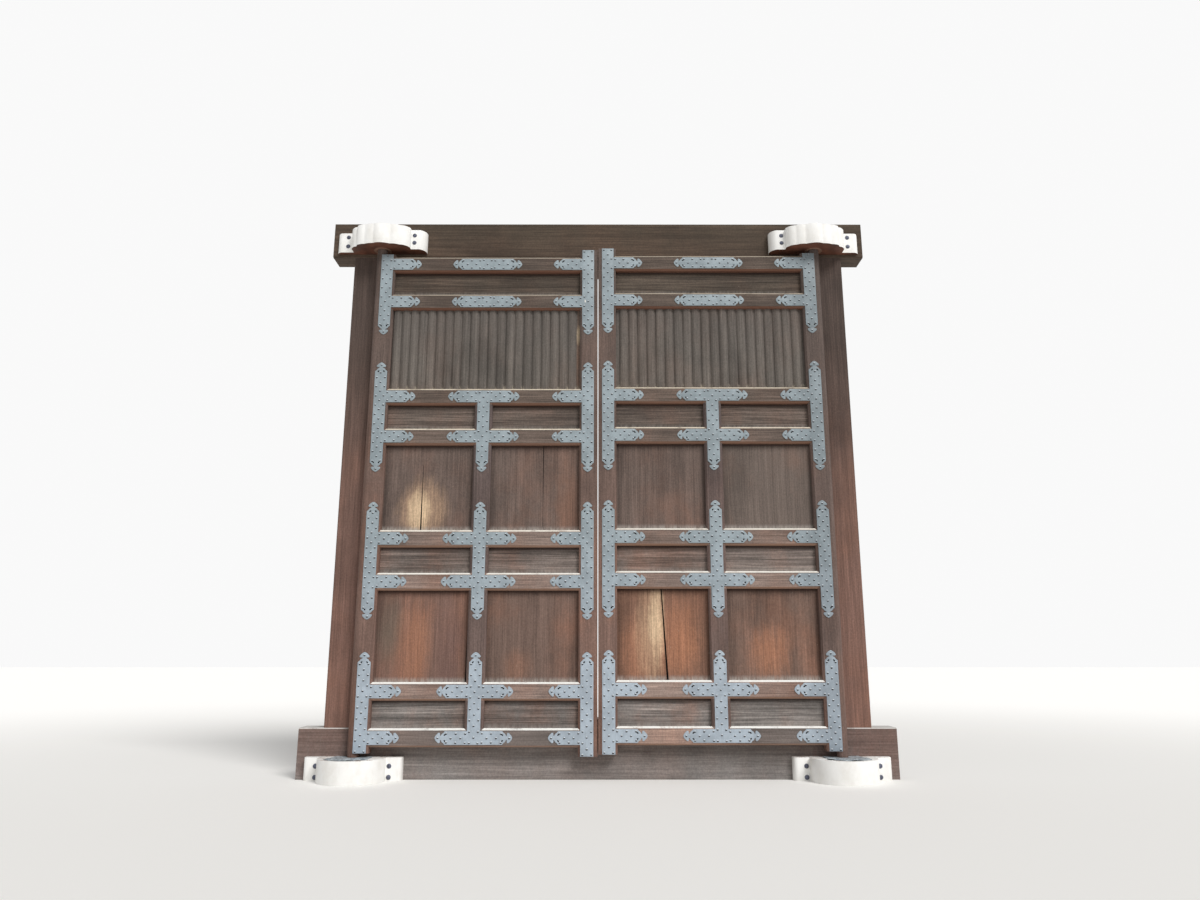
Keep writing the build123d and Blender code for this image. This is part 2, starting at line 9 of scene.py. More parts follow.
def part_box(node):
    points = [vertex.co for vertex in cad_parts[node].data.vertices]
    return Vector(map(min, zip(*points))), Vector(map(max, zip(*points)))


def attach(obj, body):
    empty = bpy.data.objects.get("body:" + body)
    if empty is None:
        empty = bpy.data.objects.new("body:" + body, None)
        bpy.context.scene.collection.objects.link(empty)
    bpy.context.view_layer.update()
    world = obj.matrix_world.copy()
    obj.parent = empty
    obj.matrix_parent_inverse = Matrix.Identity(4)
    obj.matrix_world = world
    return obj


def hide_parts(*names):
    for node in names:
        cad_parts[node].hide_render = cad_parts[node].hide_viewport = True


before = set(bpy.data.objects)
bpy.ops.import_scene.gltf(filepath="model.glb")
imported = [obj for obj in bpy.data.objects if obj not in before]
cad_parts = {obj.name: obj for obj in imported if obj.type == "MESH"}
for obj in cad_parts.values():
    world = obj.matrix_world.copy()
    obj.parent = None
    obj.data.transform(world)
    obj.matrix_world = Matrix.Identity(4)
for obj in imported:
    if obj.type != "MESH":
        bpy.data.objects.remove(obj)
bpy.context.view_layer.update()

# A pair of panelled temple doors in weathered wood with painted metal straps, in
# white sockets. Sizes are in millimetres and become metres when a mesh is made.

MM = 0.001

# Measures of the solids that the dressing sits on. X runs to the right, Y into the wall and Z up;
# leaf_bottoms are the undersides of the leaves and horns what their stiles stand out below and above.
rail_face = -60.0
pivot_x = 1128.0
field_start = 91.5
field_end = 1052.5
muntin_start = 528.0
muntin_end = 616.0
leaf_front = -128.0
panel_front = -100.0
panel_back = -86.0
rail_width = 82.9
row_heights = [123.6, 424.1, 123.6, 424.1, 123.6, 424.1, 123.6]
leaf_bottoms = {"left": 149.0, "right": 158.0}
horns = {"hinge": (27.0, 14.0), "meeting": (41.0, 39.0)}
sides = {"left": -1, "right": 1}
rail_levels = [0.0]
for height in row_heights:
    rail_levels.append(rail_levels[-1] + rail_width + height)
leaf_height = rail_levels[-1] + rail_width

# Straps
strap_half = 30.3
strap_thickness = 3.0
strap_edge_bevel = 0.5
strap_end_margin = 1.0
shoulder_reach = 131.8
stile_strap_inset = 40.8
nail_radius = 5.3
nail_height = 4.6
nail_sunk = 0.2
nail_pair_half = 20.0
nail_step = 24.5
nail_margin = 8.0
arm_nail_step = 21.8
arm_nail_end = 6.0

# Half of a finial, as distance from its shoulder and half width
finial_half = [
    (0.0, 30.3), (4.0, 26.6), (6.0, 22.8), (12.0, 19.6), (16.0, 14.0), (19.0, 8.6), (21.0, 8.4),
    (21.6, 13.0), (22.0, 18.6), (23.6, 22.0), (26.6, 23.2), (30.0, 22.2), (34.0, 19.0), (38.4, 14.6),
    (42.4, 10.0), (45.4, 4.6), (47.0, 0.0),
]
finial_nail = 32.5
eye_across = 13.5
eye_length = 5.6
eye_width = 3.3
eye_tilt = math.radians(38)
eye_points = 12
eye_shadow_spread = 1.15
eye_shadow_thickness = 0.4
eye_shadow_bevel = 0.05

# Sockets
upper_socket_bottom = 2624.0
upper_socket_height = 110.0
upper_bore_depth = 75.0
lower_socket_height = 103.0
lower_bore_depth = 50.3
lower_half_length = 226.0
lower_ear_thickness = 45.0
lower_ear_corner = 20.0
lower_bulge_half_width = 154.0
lower_socket_projection = 210.0
lower_corner_steps = 6
lower_bulge_steps = 44
bore_radius = 26.4
bore_segments = 40
bore_overshoot = 5.0
pivot_depth = -101.0
socket_edge_bevel = 2.2

# Plan of an upper socket, from its inner to its outer end: reach outwards from the pivot,
# distance in front of the rail, and how far the lobe that ends there stands out
upper_inner_end = -226.0
upper_socket_plan = [
    (-195.0, 64.0, 13.0), (-152.0, 64.0, 0.0), (-150.0, 74.0, 0.0), (-143.0, 97.0, 3.0),
    (-102.0, 121.0, 5.5), (-56.0, 132.0, 4.5), (-3.0, 147.0, 3.0), (29.0, 138.0, 2.5),
    (77.0, 127.0, 3.5), (119.0, 112.0, 4.5), (124.0, 98.0, 0.0), (151.0, 79.0, 4.0),
    (158.0, 60.0, 2.5), (158.0, 26.0, 0.0), (214.0, 26.0, 0.0), (245.0, 0.0, 9.0),
]

# Worn sheets on the lower sockets, their plan as reach from the pivot and distance in front of the rail
sheet_plan = [
    (-86.0, 8.0), (-96.0, 62.0), (-89.0, 104.0), (-97.0, 148.0), (-62.0, 172.0), (-24.0, 194.0),
    (14.0, 199.0), (46.0, 188.0), (84.0, 168.0), (108.0, 146.0), (97.0, 108.0), (92.0, 66.0),
    (84.0, 8.0),
]
sheet_thickness = 1.5
sheet_bevel = 0.2
sheet_hole_radius = 28.0
sheet_hole_points = 28
sheet_side_parts = 4
sheet_raggedness = 7.0
sheet_longest_edge = 9.0
sheet_divisions = 4
sheet_flat_reach = 40.0
sheet_crinkle_reach = 90.0
crease_rate = 26.0
crease_height = 9.0
fine_crease_rate = 2.3
fine_crease_height = 4.0

# Socket nails, as reach from the pivot, thickness of the wood under them and level above its underside
socket_nail_radius = 11.5
socket_nail_height = 6.0
socket_nail_sunk = 0.3
upper_nails = [(-168.0, 64.0, 37.0), (-168.0, 64.0, 78.0), (188.0, 26.0, 35.0), (188.0, 26.0, 86.0)]
lower_nails = [(-169.0, 45.0, 16.0), (-169.0, 45.0, 65.0), (169.0, 45.0, 16.0), (169.0, 45.0, 65.0)]

# Ribbed panels
rib_height = 10.0
rib_root = 1.0
rib_steps = 12
rib_counts = {"left": (12, 9), "right": (20,)}
panel_play = 0.3
panel_tongue = 8.0
panel_back_inset = 0.1
flat_margin = 17.5
left_joint = 655.0
left_joint_half = 0.15

# Depths where the wood's colour changes: how far behind its face the front's marks fade, the inside
# of the open splits, painted near black as shade, and the ribs from their crowns to their valleys,
# painted darker towards the valleys as shade
front_fade = (7.0, 4.0)
split_depths = (-98.5, -86.8)
valley_depths = (-109.8, -102.0)

# The white chip on the left meeting strap
chip_sides = (-68.5, -63.5)
chip_levels = (2326.0, 2340.0)


# Colours are written as they look in the photograph
def tone(red, green, blue):
    """An sRGB colour from 0 to 255 as Blender's linear colour."""
    out = []
    for level in (red, green, blue):
        share = level / 255
        out.append(share / 12.92 if share <= 0.04045 else ((share + 0.055) / 1.055) ** 2.4)
    return (*out, 1.0)


def in_metres(lengths):
    """Lengths in millimetres as metres."""
    return [length * MM for length in lengths]


class Shader:
    """A material's node tree with short names for the few kinds of node it uses."""

    def __init__(self, name):
        self.material = bpy.data.materials.new(name)
        self.material.use_nodes = True
        self.tree = self.material.node_tree
        self.surface = self.tree.nodes["Principled BSDF"]
        self.place = self.add("ShaderNodeTexCoord").outputs["Object"]
        split = self.add("ShaderNodeSeparateXYZ")
        self.join(self.place, split.inputs[0])
        self.x, self.y, self.z = split.outputs
        facing = self.add("ShaderNodeSeparateXYZ")
        self.join(self.add("ShaderNodeNewGeometry").outputs["Normal"], facing.inputs[0])
        self.up = facing.outputs[2]

    def add(self, kind, **settings):
        made = self.tree.nodes.new(kind)
        for key, value in settings.items():
            setattr(made, key, value)
        return made

    def join(self, source, target):
        if isinstance(source, (int, float, tuple)):
            target.default_value = source
        else:
            self.tree.links.new(source, target)

    def noise(self, stretch, shift=(0.0, 0.0, 0.0), detail=5.0, rough=0.6, distortion=0.0):
        """Noise from 0 to 1; stretch is how often it changes in each metre along X, Y and Z."""
        mapping = self.add("ShaderNodeMapping")
        self.join(self.place, mapping.inputs["Vector"])
        mapping.inputs["Location"].default_value = shift
        mapping.inputs["Scale"].default_value = stretch
        texture = self.add("ShaderNodeTexNoise")
        self.join(mapping.outputs[0], texture.inputs["Vector"])
        texture.inputs["Scale"].default_value = 1.0
        texture.inputs["Detail"].default_value = detail
        texture.inputs["Roughness"].default_value = rough
        texture.inputs["Distortion"].default_value = distortion
        return texture.outputs["Fac"]

    def step(self, value, low, high, bottom=0.0, top=1.0):
        """A soft step of a value between two limits."""
        made = self.add("ShaderNodeMapRange", interpolation_type="SMOOTHSTEP")
        for source, slot in ((value, 0), (low, 1), (high, 2), (bottom, 3), (top, 4)):
            self.join(source, made.inputs[slot])
        return made.outputs[0]

    def math(self, kind, first, second=0.0):
        made = self.add("ShaderNodeMath", operation=kind)
        self.join(first, made.inputs[0])
        self.join(second, made.inputs[1])
        return made.outputs[0]

    def mix(self, share, first, second):
        made = self.add("ShaderNodeMix", data_type="RGBA")
        self.join(share, made.inputs[0])
        self.join(first, made.inputs[6])
        self.join(second, made.inputs[7])
        return made.outputs[2]

    def shade(self, colour, share, low, high):
        """Multiplies a colour by a level that runs from low to high with a share."""
        level = self.step(share, 0.0, 1.0, low, high)
        made = self.add("ShaderNodeVectorMath", operation="SCALE")
        self.join(colour[:3] if isinstance(colour, tuple) else colour, made.inputs[0])
        self.join(level, made.inputs[3])
        return made.outputs[0]

    def between(self, value, low, high, soft):
        """1 inside two limits and 0 outside them."""
        rise = self.step(value, low - soft, low + soft)
        fall = self.step(value, high - soft, high + soft, 1.0, 0.0)
        return self.math("MULTIPLY", rise, fall)

    def spot(self, centre, reach):
        """1 at a point on the front, falling to 0 at the reach across and up."""
        across = self.math("DIVIDE", self.math("SUBTRACT", self.x, centre[0]), reach[0])
        rise = self.math("DIVIDE", self.math("SUBTRACT", self.z, centre[1]), reach[1])
        square = self.math("ADD", self.math("POWER", across, 2.0), self.math("POWER", rise, 2.0))
        ragged = square
        for stretch, share in (((140, 140, 7), 1.7), ((16, 16, 9), 1.5)):
            uneven = self.math("SUBTRACT", self.noise(stretch, detail=6.0, rough=0.7), 0.5)
            ragged = self.math("ADD", ragged, self.math("MULTIPLY", uneven, share))
        return self.step(ragged, -0.4, 1.3, 1.0, 0.0)

    def crack(self, across, thin, wide):
        """1 on an upright dark line whose ends are given as level and half width."""
        aside = self.math("ABSOLUTE", self.math("SUBTRACT", self.x, across))
        half = self.step(self.z, thin[0], wide[0], thin[1], wide[1])
        line = self.step(self.math("SUBTRACT", aside, half), 0.0, 0.0014, 1.0, 0.0)
        low, high = sorted((thin[0], wide[0]))
        return self.math("MULTIPLY", line, self.between(self.z, low, high, 0.012))

    def finish(self, colour, roughness, height=None, depth=0.0):
        self.join(colour, self.surface.inputs["Base Color"])
        self.join(roughness, self.surface.inputs["Roughness"])
        self.surface.inputs["Specular IOR Level"].default_value = 0.3
        if height is not None:
            bump = self.add("ShaderNodeBump")
            bump.inputs["Distance"].default_value = depth
            self.join(height, bump.inputs["Height"])
            self.join(bump.outputs[0], self.surface.inputs["Normal"])
        return self.material


def wear_and_shade_panel(shader, colour, panel, cracks, flat, shift, in_front):
    """Darkens a panel's edges with dirt and painted shade, paints the shadow under the rail above it,
    dusts its foot, draws its fine splits and paints shade inside its open splits.
    """
    lowest, highest = panel
    inside = shader.between(shader.z, lowest[2] + 0.02, highest[2] - 0.035, 0.03)
    if not flat:
        aside = shader.between(shader.x, lowest[0] + 0.035, highest[0] - 0.035, 0.03)
        inside = shader.math("MULTIPLY", inside, aside)
    # Darker towards the edges: partly dirt, partly painted shade where the panel meets the rails and stiles
    colour = shader.shade(colour, inside, 0.74, 1.03)
    streak = shader.noise((80, 80, 18), shift, detail=6.0, rough=0.75)
    foot = shader.step(shader.z, lowest[2] + 0.038, lowest[2] + 0.01)
    most = 0.35 if flat else 0.65
    settled = shader.math("MULTIPLY", foot, shader.step(streak, 0.34, 0.66, most * 0.25, most))
    settled = shader.math("MULTIPLY", settled, in_front)
    colour = shader.mix(settled, colour, tone(196, 190, 184))
    # Painted shadow of the rail above, a dark reddish band along the panel's top
    top = shader.step(shader.z, highest[2] - 0.026, highest[2] - 0.014, 0.0, 0.75)
    colour = shader.mix(top, colour, tone(46, 26, 19))
    for crack in cracks:
        line = shader.math("MULTIPLY", shader.math("MULTIPLY", shader.crack(*crack), 0.88), in_front)
        colour = shader.mix(line, colour, tone(24, 16, 12))
    fleck = shader.noise((150, 150, 55), shift, detail=3.0, rough=0.6)
    colour = shader.mix(shader.step(fleck, 0.7, 0.78, 0.0, 0.4), colour, tone(190, 176, 158))
    # The inside of the open splits painted near black as shade
    painted_shade_in_split = shader.between(shader.y, *in_metres(split_depths), 0.0004)
    return shader.mix(painted_shade_in_split, colour, tone(14, 12, 12))


def shade_and_dust_ribs(shader, colour, dust_levels, in_front):
    """Darkens the valleys between ribs as painted shade and dusts their foot."""
    deep = shader.step(shader.y, *in_metres(valley_depths))
    # Painted shade, darker towards the valleys between the ribs
    colour = shader.shade(colour, deep, 1.01, 0.88)
    crumbs = shader.step(shader.noise((70, 70, 40), detail=5.0, rough=0.7), 0.46, 0.6, 0.1, 0.8)
    foot = shader.math("MULTIPLY", shader.step(shader.z, dust_levels[1], dust_levels[0]), crumbs)
    foot = shader.math("MULTIPLY", foot, in_front)
    return shader.mix(shader.math("MULTIPLY", foot, deep), colour, tone(176, 166, 150))


def settle_dust(shader, colour, share, shift):
    """Pale dust on faces that look up, whiter and denser at the bottom of the door."""
    settled = shader.math("MULTIPLY", shader.step(shader.up, 0.55, 0.68), share)
    settled = shader.math("MULTIPLY", settled, shader.step(shader.z, 1.5, 2.6, 1.0, 0.45))
    cloud = shader.noise((13, 13, 13), shift, detail=6.0, rough=0.75)
    broken = shader.step(cloud, 0.3, 0.5, 0.4, 1.0)
    powder = shader.mix(shader.step(shader.z, 0.4, 1.9), tone(246, 246, 242), tone(222, 210, 190))
    return shader.mix(shader.math("MULTIPLY", settled, broken), colour, powder)


def redden_undersides(shader, colour, share):
    """Reddish undersides, partly less weathered wood and partly painted warm light bouncing up from the
    ground, darker at the top of the door.
    """
    # Faces that look down: partly less weathered wood, partly painted warm light bouncing up from the
    # ground
    below = shader.math("MULTIPLY", shader.step(shader.up, -0.6, -0.72), share)
    ruddy = shader.mix(shader.step(shader.z, 0.9, 2.3), tone(156, 120, 98), tone(118, 76, 56))
    return shader.mix(below, colour, ruddy)


def wood(name, along, high, low, levels, seed=0.0, dust=0.0, underside_tint_and_bounce=0.0, patches=(), panel=None,
         cracks=(), rib_dust=None, contrast=1.0, warmth=0.5, front=panel_front):
    """Weathered wood with its grain along x or z. high and low are its colours at two levels, in metres;
    the change between them is painted shade and light, darker high up under the eaves and lighter low
    down where light comes up from the ground.

    Patches have a centre, a reach, a colour and a strength, and lie near the front only. dust is the
    share of pale dust on faces that look up, and the share after it gives faces that look down a reddish
    colour, partly less weathered wood and partly painted warm light from the ground. panel is the lowest
    and highest corner of a panel, cracks are its fine splits, and rib_dust gives the levels of the dust
    between ribs.
    """
    shader = Shader(name)
    flat = along == "x"
    shift = (seed * 7.3, seed * 3.1, seed * 5.7)

    def grain(lengthwise, crosswise, detail, rough, distortion=0.0):
        stretch = (lengthwise, crosswise, crosswise) if flat else (crosswise, crosswise, lengthwise)
        return shader.noise(stretch, shift, detail, rough, distortion)

    fine = grain(4.5, 230, 7.0, 0.72)
    coarse = grain(1.8, 90, 5.0, 0.68) if flat else grain(2.4, 120, 5.0, 0.68)
    band = grain(0.9, 20, 4.0, 0.6, 0.4)
    stain = shader.noise((3.4, 3.4, 2.2), shift, detail=6.0, rough=0.62)
    blotch = shader.noise((2.6, 2.6, 2.0), (seed, 9.0, seed * 2.0), detail=5.0, rough=0.6)
    grit = shader.noise((130, 130, 110), shift, detail=6.0, rough=0.78)
    # Painted shade and light: darker high up under the eaves, lighter low down where light comes up from
    # the ground
    colour = shader.mix(shader.step(shader.z, *levels), low, high)
    redder = shader.step(shader.z, 0.5, 2.3, warmth, warmth * 0.15)
    warm = shader.math("MULTIPLY", shader.step(stain, 0.42, 0.72), redder)
    colour = shader.mix(warm, colour, tone(150, 104, 82))
    colour = shader.shade(colour, shader.step(blotch, 0.28, 0.6), 0.76, 1.04)
    colour = shader.shade(colour, shader.step(band, 0.3, 0.7), 1 - 0.12 * contrast, 1 + 0.1 * contrast)
    in_front = shader.step(shader.y, *in_metres(front + depth for depth in front_fade))
    for centre, reach, patch_colour, strength in patches:
        mask = shader.math("MULTIPLY", shader.spot(centre, reach), strength)
        mask = shader.math("MULTIPLY", mask, in_front)
        colour = shader.mix(mask, colour, patch_colour)
    colour = shader.shade(colour, shader.step(coarse, 0.3, 0.7), 1 - 0.12 * contrast, 1 + 0.1 * contrast)
    colour = shader.shade(colour, shader.step(fine, 0.28, 0.72), 1 - 0.2 * contrast, 1 + 0.15 * contrast)
    colour = shader.shade(colour, shader.step(grit, 0.32, 0.68), 0.86, 1.14)
    if panel:
        colour = wear_and_shade_panel(shader, colour, panel, cracks, flat, shift, in_front)
    if rib_dust:
        colour = shade_and_dust_ribs(shader, colour, rib_dust, in_front)
    if dust:
        colour = settle_dust(shader, colour, dust, shift)
    if underside_tint_and_bounce:
        colour = redden_undersides(shader, colour, underside_tint_and_bounce)
    return shader.finish(colour, 0.8, shader.math("ADD", fine, coarse), 0.0012)


def painted_metal():
    """Blue-grey paint on the straps, paler at the bottom of the door, with streaks, specks and one chip."""
    shader = Shader("strap_paint")
    cloud = shader.noise((14, 14, 9), (3.0, 1.0, 2.0), detail=6.0, rough=0.7)
    speck = shader.noise((130, 130, 110), detail=5.0, rough=0.75)
    streak = shader.noise((60, 60, 8), (5.0, 0.0, 1.0), detail=5.0, rough=0.7)
    colour = shader.mix(shader.step(shader.z, 0.3, 1.3), tone(172, 184, 195), tone(150, 162, 168))
    colour = shader.shade(colour, shader.step(cloud, 0.3, 0.7), 0.84, 1.08)
    colour = shader.shade(colour, shader.step(shader.x, 0.9, 1.1), 1.0, 0.78)
    colour = shader.mix(shader.step(streak, 0.55, 0.8, 0.0, 0.35), colour, tone(116, 118, 120))
    colour = shader.mix(shader.step(speck, 0.6, 0.74, 0.0, 0.55), colour, tone(98, 92, 88))
    chip_width = shader.between(shader.x, *in_metres(chip_sides), 0.0008)
    chip_height = shader.between(shader.z, *in_metres(chip_levels), 0.002)
    colour = shader.mix(shader.math("MULTIPLY", chip_width, chip_height), colour, tone(236, 234, 226))
    return shader.finish(colour, 0.5, cloud, 0.0012)


def nail_paint():
    """The straps' paint on their small nails, with a painted highlight on top and painted shade on the
    lower side of each head.
    """
    shader = Shader("strap_nail_paint")
    # Painted shade on the lower side of each head, a paler painted highlight on the rest
    under = shader.step(shader.up, 0.32, -0.2)
    painted_nail_shade = shader.mix(shader.step(shader.z, 0.8, 2.2), tone(34, 32, 34), tone(84, 88, 92))
    colour = shader.mix(under, tone(200, 207, 213), painted_nail_shade)
    return shader.finish(colour, 0.4)


def white_paint(name, bare_below=False, worn_on_top=False):
    """White paint on the sockets, with bare reddish wood underneath or paint rubbed off on top."""
    shader = Shader(name)
    cloud = shader.noise((11, 11, 7), (1.0, 4.0, 2.0), detail=6.0, rough=0.65)
    scratch = shader.noise((120, 120, 12), detail=5.0, rough=0.75)
    colour = shader.mix(shader.step(cloud, 0.35, 0.75), tone(251, 251, 249), tone(236, 234, 229))
    colour = shader.mix(shader.step(scratch, 0.68, 0.8, 0.0, 0.6), colour, tone(176, 162, 148))
    if bare_below:
        away = shader.add("ShaderNodeVectorMath", operation="LENGTH")
        flat = shader.add("ShaderNodeCombineXYZ")
        side_x = shader.math("SUBTRACT", shader.math("ABSOLUTE", shader.x), pivot_x * MM)
        shader.join(side_x, flat.inputs[0])
        shader.join(shader.math("SUBTRACT", shader.y, pivot_depth * MM), flat.inputs[1])
        shader.join(flat.outputs[0], away.inputs[0])
        ring = shader.between(away.outputs["Value"], 0.030, 0.045, 0.002)
        bare = shader.mix(shader.step(cloud, 0.3, 0.7), tone(66, 42, 33), tone(106, 66, 50))
        bare = shader.mix(shader.math("MULTIPLY", ring, 0.45), bare, tone(150, 124, 106))
        colour = shader.mix(shader.step(shader.up, -0.6, -0.75), colour, bare)
    if worn_on_top:
        worn = shader.step(shader.noise((24, 24, 24), detail=6.0, rough=0.7), 0.52, 0.62, 0.0, 0.75)
        on_top = shader.math("MULTIPLY", shader.step(shader.up, 0.6, 0.75), worn)
        colour = shader.mix(on_top, colour, tone(168, 142, 126))
    return shader.finish(colour, 0.62, cloud, 0.002)


def plain_metal(name, base, shadow, roughness, metallic=0.0):
    """Worn metal with soft cloudy spots."""
    shader = Shader(name)
    cloud = shader.noise((60, 60, 60), detail=6.0, rough=0.7)
    colour = shader.mix(shader.step(cloud, 0.35, 0.7), base, shadow)
    shader.surface.inputs["Metallic"].default_value = metallic
    return shader.finish(colour, roughness, cloud, 0.0015)


def make_object(name, vertices, faces, body, material, replaced=()):
    """A mesh from points in millimetres, riding on a body."""
    mesh = bpy.data.meshes.new(name)
    mesh.from_pydata([Vector(point) * MM for point in vertices], [], faces)
    return place_mesh(name, mesh, body, material, replaced)


def place_mesh(name, mesh, body, material, replaced=(), sharp=35.0):
    """Shades a mesh, gives it its material, links it, ties it to its body and hides the nodes it stands
    for.
    """
    work = bmesh.new()
    work.from_mesh(mesh)
    bmesh.ops.recalc_face_normals(work, faces=work.faces)
    for face in work.faces:
        face.smooth = True
    for edge in work.edges:
        edge.smooth = len(edge.link_faces) == 2 and edge.calc_face_angle(0.0) < math.radians(sharp)
    work.to_mesh(mesh)
    work.free()
    mesh.materials.clear()
    mesh.materials.append(material)
    piece = bpy.data.objects.new(name, mesh)
    bpy.context.scene.collection.objects.link(piece)
    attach(piece, body)
    if replaced:
        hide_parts(*replaced)
    return piece


def plate_mesh(outlines, thickness, bevel):
    """A filled plate from closed outlines in millimetres; inner outlines are holes."""
    curve = bpy.data.curves.new("plate", "CURVE")
    curve.dimensions = "2D"
    curve.fill_mode = "BOTH"
    curve.extrude = (thickness / 2 - bevel) * MM
    curve.bevel_depth = bevel * MM
    curve.bevel_resolution = 1
    curve.offset = -bevel * MM
    for outline in outlines:
        spline = curve.splines.new("POLY")
        spline.points.add(len(outline) - 1)
        for point, (across, up) in zip(spline.points, outline):
            point.co = (across * MM, up * MM, 0.0, 1.0)
        spline.use_cyclic_u = True
    holder = bpy.data.objects.new("plate", curve)
    bpy.context.scene.collection.objects.link(holder)
    graph = bpy.context.evaluated_depsgraph_get()
    mesh = bpy.data.meshes.new_from_object(holder.evaluated_get(graph))
    bpy.data.objects.remove(holder)
    work = bmesh.new()
    work.from_mesh(mesh)
    bmesh.ops.remove_doubles(work, verts=work.verts, dist=0.01 * MM)
    work.to_mesh(mesh)
    work.free()
    return mesh


# Straps
def finial_end(centre, direction):
    """A finial's outline at the end of a bar, walked counter-clockwise, and its two eyes."""
    (x, z), (dx, dz) = centre, direction
    points = []
    for sign, half in ((-1, finial_half), (1, finial_half[-2::-1])):
        for out, wide in half:
            points.append((x + dx * out - sign * dz * wide, z + dz * out + sign * dx * wide))
    eyes = []
    for sign in (-1, 1):
        eye = []
        for index in range(eye_points):
            turn = 2 * math.pi * index / eye_points
            out = eye_length * math.cos(turn)
            wide = eye_width * math.sin(turn)
            along = out * math.cos(eye_tilt) - wide * math.sin(eye_tilt)
            aside = sign * (eye_across - out * math.sin(eye_tilt) - wide * math.cos(eye_tilt))
            eye.append((x + dx * along - dz * aside, z + dz * along + dx * aside))
        eyes.append(eye)
    return points, eyes


def strap_plate(x, levels, arms, low_end, high_end):
    """Outlines and nail places of one plate: a trunk with arms at each level."""
    outline = []
    eyes = []
    nails = []

    def end(centre, direction, finial):
        dx, dz = direction
        if finial:
            points, holes = finial_end(centre, direction)
            outline.extend(points)
            eyes.extend(holes)
            nails.append((centre[0] + dx * finial_nail, centre[1] + dz * finial_nail))
        else:
            for sign in (-1, 1):
                outline.append((centre[0] - sign * dz * strap_half, centre[1] + sign * dx * strap_half))

    def arm(level, direction):
        outline.append((x + direction * strap_half, level - direction * strap_half))
        end((x + direction * shoulder_reach, level), (direction, 0), True)
        outline.append((x + direction * strap_half, level + direction * strap_half))
        steps = int((shoulder_reach - strap_half - arm_nail_end) / arm_nail_step)
        for index in range(steps + 1):
            along = x + direction * (strap_half + nail_margin + index * arm_nail_step)
            if index % 2 == 0:
                nails.append((along, level - nail_pair_half))
                nails.append((along, level + nail_pair_half))
            else:
                nails.append((along, level))

    low = levels[0] - shoulder_reach if low_end == "finial" else low_end
    high = levels[-1] + shoulder_reach if high_end == "finial" else high_end
    end((x, low), (0, -1), low_end == "finial")
    if 1 in arms:
        for level in levels:
            arm(level, 1)
    end((x, high), (0, 1), high_end == "finial")
    if -1 in arms:
        for level in reversed(levels):
            arm(level, -1)
    length = high - low - 2 * nail_margin
    count = max(2, round(length / nail_step))
    for index in range(count + 1):
        level = low + nail_margin + length * index / count
        if index % 2 == 0:
            nails.append((x - nail_pair_half, level))
            nails.append((x + nail_pair_half, level))
        else:
            nails.append((x, level))
    return [outline] + eyes, nails


def leaf_plates(side_name):
    """The plates of a leaf, by the node they stand for, as outlines and nail places."""
    side = sides[side_name]
    bottom = leaf_bottoms[side_name]
    middles = [bottom + level + rail_width / 2 for level in rail_levels]
    made = {}
    for stile, x, toward in (
        ("hinge", side * (field_end + stile_strap_inset), -side),
        ("meeting", side * (field_start - stile_strap_inset), side),
    ):
        below, above = horns[stile]
        plates = []
        for low in (0, 2, 4, 6):
            foot = bottom - below + strap_end_margin if low == 0 else "finial"
            head = bottom + leaf_height + above - strap_end_margin if low == 6 else "finial"
            plates.append(strap_plate(x, middles[low:low + 2], [toward], foot, head))
        made[f"{side_name}_{stile}_straps"] = plates
    x = side * (muntin_start + muntin_end) / 2
    plates = []
    for rails, foot, head in (
        ((0, 1), "flush", "finial"),
        ((2, 3), "finial", "finial"),
        ((4, 5), "finial", "flush"),
        ((6, 6), "flush", "flush"),
        ((7, 7), "flush", "flush"),
    ):
        levels = sorted({middles[rail] for rail in rails})
        low_end = levels[0] - strap_half if foot == "flush" else foot
        high_end = levels[-1] + strap_half if head == "flush" else head
        plates.append(strap_plate(x, levels, [-1, 1], low_end, high_end))
    made[f"{side_name}_centre_straps"] = plates
    return made


def dome(vertices, faces, centre, radius, height, sides_count=10, rings=3):
    """Adds a low round head that rises towards -Y from its centre."""
    start = len(vertices)
    for ring in range(rings):
        angle = math.pi / 2 * ring / rings
        for index in range(sides_count):
            turn = 2 * math.pi * index / sides_count
            vertices.append((
                centre[0] + radius * math.cos(angle) * math.cos(turn),
                centre[1] - height * math.sin(angle),
                centre[2] + radius * math.cos(angle) * math.sin(turn),
            ))
    vertices.append((centre[0], centre[1] - height, centre[2]))
    top = len(vertices) - 1
    for ring in range(rings - 1):
        for index in range(sides_count):
            after = (index + 1) % sides_count
            lower = start + ring * sides_count
            upper = lower + sides_count
            faces.append((lower + index, lower + after, upper + after, upper + index))
    last = start + (rings - 1) * sides_count
    for index in range(sides_count):
        faces.append((last + index, last + (index + 1) % sides_count, top))


def grown(outline, factor):
    """An outline scaled about its own middle."""
    x = sum(point[0] for point in outline) / len(outline)
    z = sum(point[1] for point in outline) / len(outline)
    return [(x + (a - x) * factor, z + (b - z) * factor) for a, b in outline]


